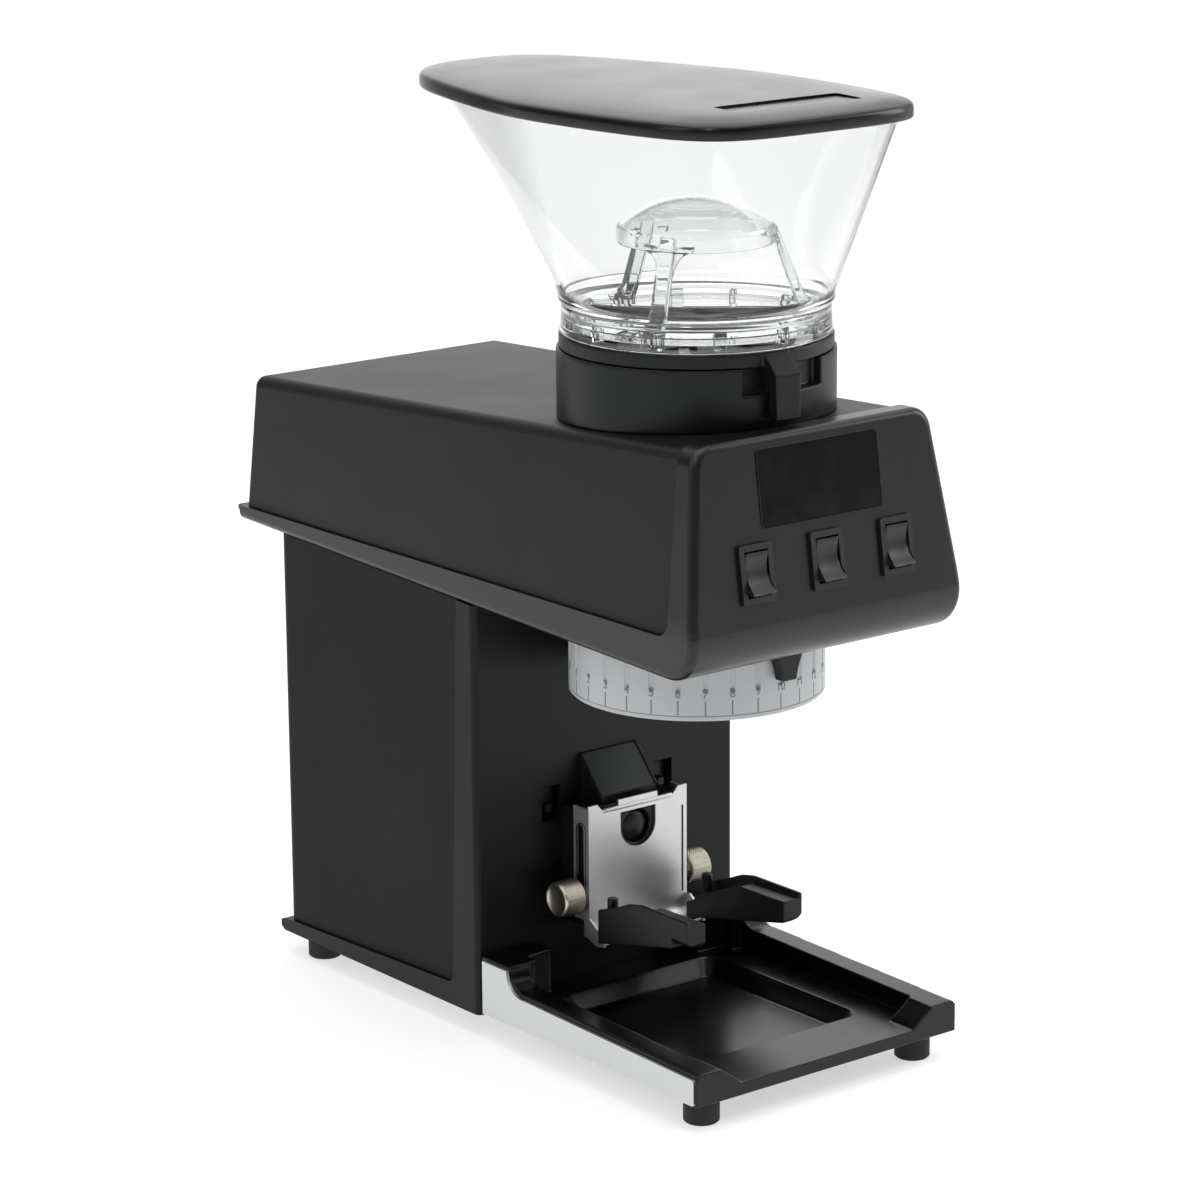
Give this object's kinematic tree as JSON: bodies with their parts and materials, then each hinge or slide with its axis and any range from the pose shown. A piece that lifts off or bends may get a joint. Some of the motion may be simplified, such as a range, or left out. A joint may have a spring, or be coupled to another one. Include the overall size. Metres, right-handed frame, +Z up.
{
  "type": "burr coffee grinder",
  "caption": "On-demand espresso grinder: clear bean hopper with a black lid on a long head, numbered grind ring below it, filter-holder fork on a column, and a tray base on feet.",
  "frame": {"origin": "middle of the overall footprint, on the surface the feet stand on", "axes": "+Z up, the front panel faces -Y, +X is the right-hand side seen from the front"},
  "size_m": [0.2018, 0.4506, 0.57],
  "materials": {
    "cover_paint": "fine textured powder coat, matte",
    "frame_paint": "satin paint on a casting",
    "black_plastic": "fine matte grain",
    "lid_plastic": "satin",
    "display_gloss": "polished",
    "switch_plastic": "satin",
    "clear_plastic": "clear",
    "ring_white": "satin",
    "stainless": "brushed",
    "nickel": "knurled",
    "strip_aluminium": "satin anodised",
    "tray_plastic": "satin",
    "rubber": "matte",
    "cast_aluminium": "as cast",
    "burr_steel": "ground",
    "machine_steel": "turned",
    "motor_paint": "gloss",
    "capacitor_can": "bright",
    "board": "solder mask"
  },
  "bodies": {
    "body": {"feet": "rubber", "base_plate": "machine_steel", "column_frame": "frame_paint", "column_cover": "cover_paint", "power_inlet": "black_plastic", "head_frame": "frame_paint", "head_cover": "cover_paint", "display_window": "display_gloss", "display_board": "board", "switch_bezels": "switch_plastic", "switch_bodies": "switch_plastic", "rocker_pins": "stainless", "hopper_collar": "black_plastic", "throat_plate": "black_plastic", "chamber_housing": "cast_aluminium", "upper_burr_carrier": "cast_aluminium", "upper_burr": "burr_steel", "spindle_bearing": "machine_steel", "drive_belt": "rubber", "outlet_funnel": "black_plastic", "ring_retainer": "stainless", "pointer": "black_plastic", "feed_cone": "black_plastic", "motor_plate": "machine_steel", "motor_can": "motor_paint", "motor_bearings": "machine_steel", "start_capacitor": "capacitor_can", "power_board": "board", "skirt_left": "strip_aluminium", "skirt_right": "strip_aluminium", "holder_bracket": "black_plastic", "posts": "machine_steel", "cap_screws": "machine_steel", "button_spring": "stainless"},
    "hopper_unit": {"hopper": "clear_plastic", "hopper_guard": "clear_plastic"},
    "lid": {"hopper_lid": "lid_plastic"},
    "gate": {"gate_ring": "black_plastic", "gate_shutter": "black_plastic"},
    "setting_ring": {"adjusting_ring": "ring_white"},
    "sleeve": {"adjusting_sleeve": "cast_aluminium", "thrust_bearing": "machine_steel"},
    "burr_spindle": {"spindle": "machine_steel", "spindle_nut": "machine_steel", "spindle_pulley": "cast_aluminium", "lower_burr_carrier": "cast_aluminium", "lower_burr": "burr_steel"},
    "rotor": {"motor_rotor": "machine_steel", "motor_pulley": "cast_aluminium"},
    "rocker_left": {"rocker_left": "switch_plastic"},
    "rocker_middle": {"rocker_middle": "switch_plastic"},
    "rocker_right": {"rocker_right": "switch_plastic"},
    "button": {"filter_button": "black_plastic"},
    "fork": {"holder_plate": "stainless", "fork_arm_left": "black_plastic", "fork_arm_right": "black_plastic", "arm_clips": "stainless"},
    "thumb_left": {"thumbscrew_left": "nickel"},
    "thumb_right": {"thumbscrew_right": "nickel"},
    "tray": {"catch_tray": "tray_plastic"}
  },
  "joints": [
    {"name": "hopper_lift", "type": "slide", "parent": "body", "child": "hopper_unit", "axis": [0, 0, 1], "range_m": [0, 0.12]},
    {"name": "lid_lift", "type": "slide", "parent": "hopper_unit", "child": "lid", "axis": [0, 0, 1], "range_m": [0, 0.1]},
    {"name": "gate_turn", "type": "hinge", "parent": "body", "child": "gate", "pos_m": [0, -0.1067, 0.4265], "axis": [0, 0, 1], "range_deg": [-9, 15]},
    {"name": "grind_setting", "type": "hinge", "parent": "body", "child": "setting_ring", "pos_m": [0, -0.1067, 0.24], "axis": [0, 0, 1], "range_deg": [-180, 120]},
    {"name": "sleeve_height", "type": "slide", "parent": "body", "child": "sleeve", "axis": [0, 0, 1], "range_m": [-0.00076, 0.00051]},
    {"name": "burr_spin", "type": "hinge", "parent": "sleeve", "child": "burr_spindle", "pos_m": [0, -0.1067, 0.3], "axis": [0, 0, 1], "continuous": true},
    {"name": "motor_spin", "type": "hinge", "parent": "body", "child": "rotor", "pos_m": [0, 0.0833, 0.2], "axis": [0, 0, 1], "continuous": true},
    {"name": "rocker_left_tilt", "type": "hinge", "parent": "body", "child": "rocker_left", "pos_m": [-0.052, -0.214, 0.31643], "axis": [1, 0, 0], "range_deg": [-7, 7], "stiffness_Nm_per_rad": 0.3},
    {"name": "rocker_middle_tilt", "type": "hinge", "parent": "body", "child": "rocker_middle", "pos_m": [0, -0.214, 0.31643], "axis": [1, 0, 0], "range_deg": [-7, 7], "stiffness_Nm_per_rad": 0.3},
    {"name": "rocker_right_tilt", "type": "hinge", "parent": "body", "child": "rocker_right", "pos_m": [0.052, -0.214, 0.31643], "axis": [1, 0, 0], "range_deg": [-7, 7], "stiffness_Nm_per_rad": 0.3},
    {"name": "button_press", "type": "slide", "parent": "body", "child": "button", "axis": [0, 1, 0], "range_m": [0, 0.004], "stiffness_N_per_m": 400, "springref_m": -0.001},
    {"name": "fork_height", "type": "slide", "parent": "body", "child": "fork", "axis": [0, 0, 1], "range_m": [-0.018, 0.002]},
    {"name": "thumb_left_turn", "type": "hinge", "parent": "body", "child": "thumb_left", "pos_m": [-0.05, -0.0427, 0.083], "axis": [1, 0, 0], "continuous": true},
    {"name": "thumb_right_turn", "type": "hinge", "parent": "body", "child": "thumb_right", "pos_m": [0.05, -0.0427, 0.083], "axis": [1, 0, 0], "continuous": true},
    {"name": "tray_slide", "type": "slide", "parent": "body", "child": "tray", "axis": [0, -1, 0], "range_m": [0, 0.11]}
  ],
  "couplings": [
    {"joint": "sleeve_height", "follows": "grind_setting", "m_per_rad": 0.00023873},
    {"joint": "burr_spin", "follows": "motor_spin", "ratio": 0.59004}
  ]
}
